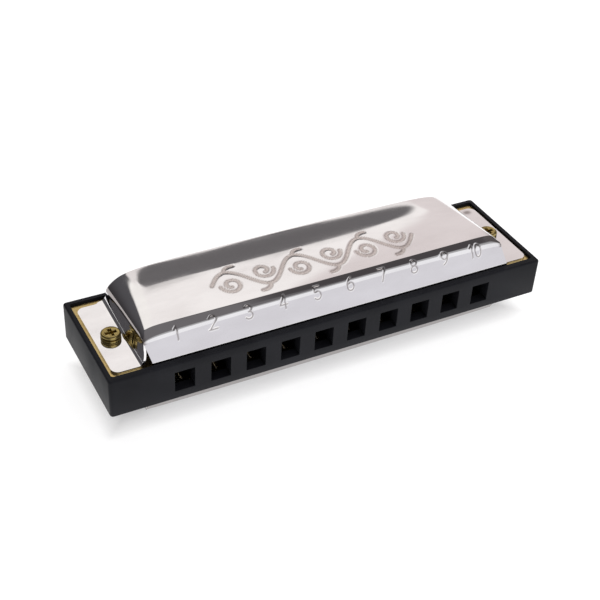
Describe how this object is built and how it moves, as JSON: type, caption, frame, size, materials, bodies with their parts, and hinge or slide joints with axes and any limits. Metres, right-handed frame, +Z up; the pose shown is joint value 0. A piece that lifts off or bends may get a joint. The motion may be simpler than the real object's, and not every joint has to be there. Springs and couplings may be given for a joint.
{
  "type": "diatonic harmonica",
  "caption": "Ten-hole diatonic harmonica: black plastic comb, brass reed plates with sprung reeds, and two polished steel covers.",
  "frame": {"origin": "centre of the harmonica's plan, at the height of the surface it lies on, under the flat crown of the lower cover", "axes": "+X along the length from hole 1 to hole 10, -Y towards the player's mouth, +Z up through the blow side's cover"},
  "size_m": [0.0976, 0.0266, 0.0212],
  "materials": {
    "comb_plastic": "moulded near-black plastic with a soft sheen",
    "cover_steel": "mirror-polished sheet",
    "plate_brass": "milled, lightly brushed",
    "reed_brass": "fine lengthwise grinding marks",
    "rivet_brass": "pressed, slightly tarnished",
    "screw_brass": "turned and polished"
  },
  "bodies": {
    "body": {"comb": "comb_plastic", "blow_reed_plate": "plate_brass", "draw_reed_plate": "plate_brass", "upper_cover": "cover_steel", "lower_cover": "cover_steel", "left_cover_screw": "screw_brass", "right_cover_screw": "screw_brass", "left_cover_nut": "screw_brass", "right_cover_nut": "screw_brass", "blow_plate_pin_1": "rivet_brass", "blow_plate_pin_2": "rivet_brass", "blow_plate_pin_3": "rivet_brass", "blow_plate_pin_4": "rivet_brass", "blow_plate_pin_5": "rivet_brass", "blow_rivet_1": "rivet_brass", "blow_rivet_2": "rivet_brass", "blow_rivet_3": "rivet_brass", "blow_rivet_4": "rivet_brass", "blow_rivet_5": "rivet_brass", "blow_rivet_6": "rivet_brass", "blow_rivet_7": "rivet_brass", "blow_rivet_8": "rivet_brass", "blow_rivet_9": "rivet_brass", "blow_rivet_10": "rivet_brass", "draw_plate_pin_1": "rivet_brass", "draw_plate_pin_2": "rivet_brass", "draw_plate_pin_3": "rivet_brass", "draw_plate_pin_4": "rivet_brass", "draw_plate_pin_5": "rivet_brass", "draw_rivet_1": "rivet_brass", "draw_rivet_2": "rivet_brass", "draw_rivet_3": "rivet_brass", "draw_rivet_4": "rivet_brass", "draw_rivet_5": "rivet_brass", "draw_rivet_6": "rivet_brass", "draw_rivet_7": "rivet_brass", "draw_rivet_8": "rivet_brass", "draw_rivet_9": "rivet_brass", "draw_rivet_10": "rivet_brass"},
    "blow_reed_1": {"blow_reed_1": "reed_brass"},
    "blow_reed_2": {"blow_reed_2": "reed_brass"},
    "blow_reed_3": {"blow_reed_3": "reed_brass"},
    "blow_reed_4": {"blow_reed_4": "reed_brass"},
    "blow_reed_5": {"blow_reed_5": "reed_brass"},
    "blow_reed_6": {"blow_reed_6": "reed_brass"},
    "blow_reed_7": {"blow_reed_7": "reed_brass"},
    "blow_reed_8": {"blow_reed_8": "reed_brass"},
    "blow_reed_9": {"blow_reed_9": "reed_brass"},
    "blow_reed_10": {"blow_reed_10": "reed_brass"},
    "draw_reed_1": {"draw_reed_1": "reed_brass"},
    "draw_reed_2": {"draw_reed_2": "reed_brass"},
    "draw_reed_3": {"draw_reed_3": "reed_brass"},
    "draw_reed_4": {"draw_reed_4": "reed_brass"},
    "draw_reed_5": {"draw_reed_5": "reed_brass"},
    "draw_reed_6": {"draw_reed_6": "reed_brass"},
    "draw_reed_7": {"draw_reed_7": "reed_brass"},
    "draw_reed_8": {"draw_reed_8": "reed_brass"},
    "draw_reed_9": {"draw_reed_9": "reed_brass"},
    "draw_reed_10": {"draw_reed_10": "reed_brass"}
  },
  "joints": [
    {"name": "blow_reed_1_flex", "type": "hinge", "parent": "body", "child": "blow_reed_1", "pos_m": [-0.03375, 0.0054, 0.01303], "axis": [1, 0, 0], "range_deg": [-2.5, 2.5], "stiffness_Nm_per_rad": 0.02},
    {"name": "blow_reed_2_flex", "type": "hinge", "parent": "body", "child": "blow_reed_2", "pos_m": [-0.02625, 0.00471, 0.01303], "axis": [1, 0, 0], "range_deg": [-2.5, 2.5], "stiffness_Nm_per_rad": 0.02},
    {"name": "blow_reed_3_flex", "type": "hinge", "parent": "body", "child": "blow_reed_3", "pos_m": [-0.01875, 0.00402, 0.01303], "axis": [1, 0, 0], "range_deg": [-2.5, 2.5], "stiffness_Nm_per_rad": 0.02},
    {"name": "blow_reed_4_flex", "type": "hinge", "parent": "body", "child": "blow_reed_4", "pos_m": [-0.01125, 0.00333, 0.01303], "axis": [1, 0, 0], "range_deg": [-2.5, 2.5], "stiffness_Nm_per_rad": 0.02},
    {"name": "blow_reed_5_flex", "type": "hinge", "parent": "body", "child": "blow_reed_5", "pos_m": [-0.00375, 0.00264, 0.01303], "axis": [1, 0, 0], "range_deg": [-2.5, 2.5], "stiffness_Nm_per_rad": 0.02},
    {"name": "blow_reed_6_flex", "type": "hinge", "parent": "body", "child": "blow_reed_6", "pos_m": [0.00375, 0.00196, 0.01303], "axis": [1, 0, 0], "range_deg": [-2.5, 2.5], "stiffness_Nm_per_rad": 0.02},
    {"name": "blow_reed_7_flex", "type": "hinge", "parent": "body", "child": "blow_reed_7", "pos_m": [0.01125, 0.00127, 0.01303], "axis": [1, 0, 0], "range_deg": [-2.5, 2.5], "stiffness_Nm_per_rad": 0.02},
    {"name": "blow_reed_8_flex", "type": "hinge", "parent": "body", "child": "blow_reed_8", "pos_m": [0.01875, 0.00058, 0.01303], "axis": [1, 0, 0], "range_deg": [-2.5, 2.5], "stiffness_Nm_per_rad": 0.02},
    {"name": "blow_reed_9_flex", "type": "hinge", "parent": "body", "child": "blow_reed_9", "pos_m": [0.02625, -0.00011, 0.01303], "axis": [1, 0, 0], "range_deg": [-2.5, 2.5], "stiffness_Nm_per_rad": 0.02},
    {"name": "blow_reed_10_flex", "type": "hinge", "parent": "body", "child": "blow_reed_10", "pos_m": [0.03375, -0.0008, 0.01303], "axis": [1, 0, 0], "range_deg": [-2.5, 2.5], "stiffness_Nm_per_rad": 0.02},
    {"name": "draw_reed_1_flex", "type": "hinge", "parent": "body", "child": "draw_reed_1", "pos_m": [-0.03375, 0.0054, 0.00658], "axis": [1, 0, 0], "range_deg": [-2.5, 2.5], "stiffness_Nm_per_rad": 0.02},
    {"name": "draw_reed_2_flex", "type": "hinge", "parent": "body", "child": "draw_reed_2", "pos_m": [-0.02625, 0.00471, 0.00658], "axis": [1, 0, 0], "range_deg": [-2.5, 2.5], "stiffness_Nm_per_rad": 0.02},
    {"name": "draw_reed_3_flex", "type": "hinge", "parent": "body", "child": "draw_reed_3", "pos_m": [-0.01875, 0.00402, 0.00658], "axis": [1, 0, 0], "range_deg": [-2.5, 2.5], "stiffness_Nm_per_rad": 0.02},
    {"name": "draw_reed_4_flex", "type": "hinge", "parent": "body", "child": "draw_reed_4", "pos_m": [-0.01125, 0.00333, 0.00658], "axis": [1, 0, 0], "range_deg": [-2.5, 2.5], "stiffness_Nm_per_rad": 0.02},
    {"name": "draw_reed_5_flex", "type": "hinge", "parent": "body", "child": "draw_reed_5", "pos_m": [-0.00375, 0.00264, 0.00658], "axis": [1, 0, 0], "range_deg": [-2.5, 2.5], "stiffness_Nm_per_rad": 0.02},
    {"name": "draw_reed_6_flex", "type": "hinge", "parent": "body", "child": "draw_reed_6", "pos_m": [0.00375, 0.00196, 0.00658], "axis": [1, 0, 0], "range_deg": [-2.5, 2.5], "stiffness_Nm_per_rad": 0.02},
    {"name": "draw_reed_7_flex", "type": "hinge", "parent": "body", "child": "draw_reed_7", "pos_m": [0.01125, 0.00127, 0.00658], "axis": [1, 0, 0], "range_deg": [-2.5, 2.5], "stiffness_Nm_per_rad": 0.02},
    {"name": "draw_reed_8_flex", "type": "hinge", "parent": "body", "child": "draw_reed_8", "pos_m": [0.01875, 0.00058, 0.00658], "axis": [1, 0, 0], "range_deg": [-2.5, 2.5], "stiffness_Nm_per_rad": 0.02},
    {"name": "draw_reed_9_flex", "type": "hinge", "parent": "body", "child": "draw_reed_9", "pos_m": [0.02625, -0.00011, 0.00658], "axis": [1, 0, 0], "range_deg": [-2.5, 2.5], "stiffness_Nm_per_rad": 0.02},
    {"name": "draw_reed_10_flex", "type": "hinge", "parent": "body", "child": "draw_reed_10", "pos_m": [0.03375, -0.0008, 0.00658], "axis": [1, 0, 0], "range_deg": [-2.5, 2.5], "stiffness_Nm_per_rad": 0.02}
  ]
}
